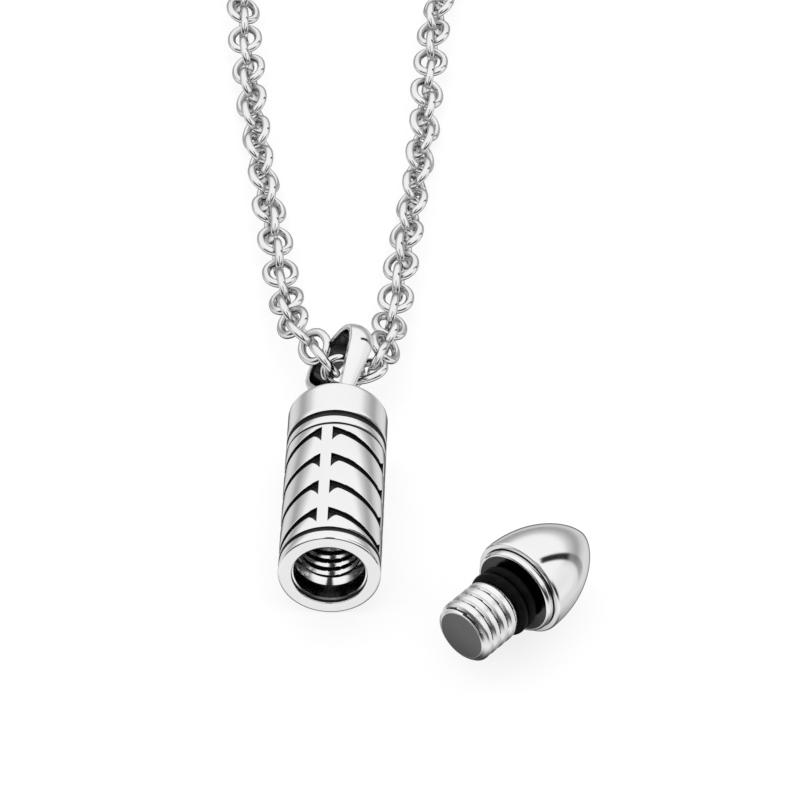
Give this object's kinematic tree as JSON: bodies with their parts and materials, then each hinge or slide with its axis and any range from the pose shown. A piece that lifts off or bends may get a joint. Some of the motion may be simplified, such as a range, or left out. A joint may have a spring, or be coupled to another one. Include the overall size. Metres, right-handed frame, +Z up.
{
  "type": "keepsake urn pendant",
  "caption": "Cylindrical keepsake urn pendant lying open: chevron-slotted barrel, bullet-nosed threaded cap beside it, eye ring, band bail and a link neck chain with a clasp.",
  "frame": {"origin": "middle of the whole outline, on the surface the piece lies on", "axes": "+Y along the lying barrel from its open mouth towards the clasp, +X to the right where the cap lies, +Z up from the surface"},
  "size_m": [0.073, 0.3006, 0.01],
  "materials": {
    "polished_steel": "mirror polished stainless steel, with dark recesses in the slots and grooves",
    "chain_steel": "polished stainless steel",
    "black_rubber": "satin black"
  },
  "bodies": {
    "root": {"barrel": "polished_steel", "bail": "polished_steel", "chain": "chain_steel", "clasp": "chain_steel", "cap": "polished_steel", "o_ring_outer": "black_rubber", "o_ring_inner": "black_rubber"}
  },
  "joints": []
}
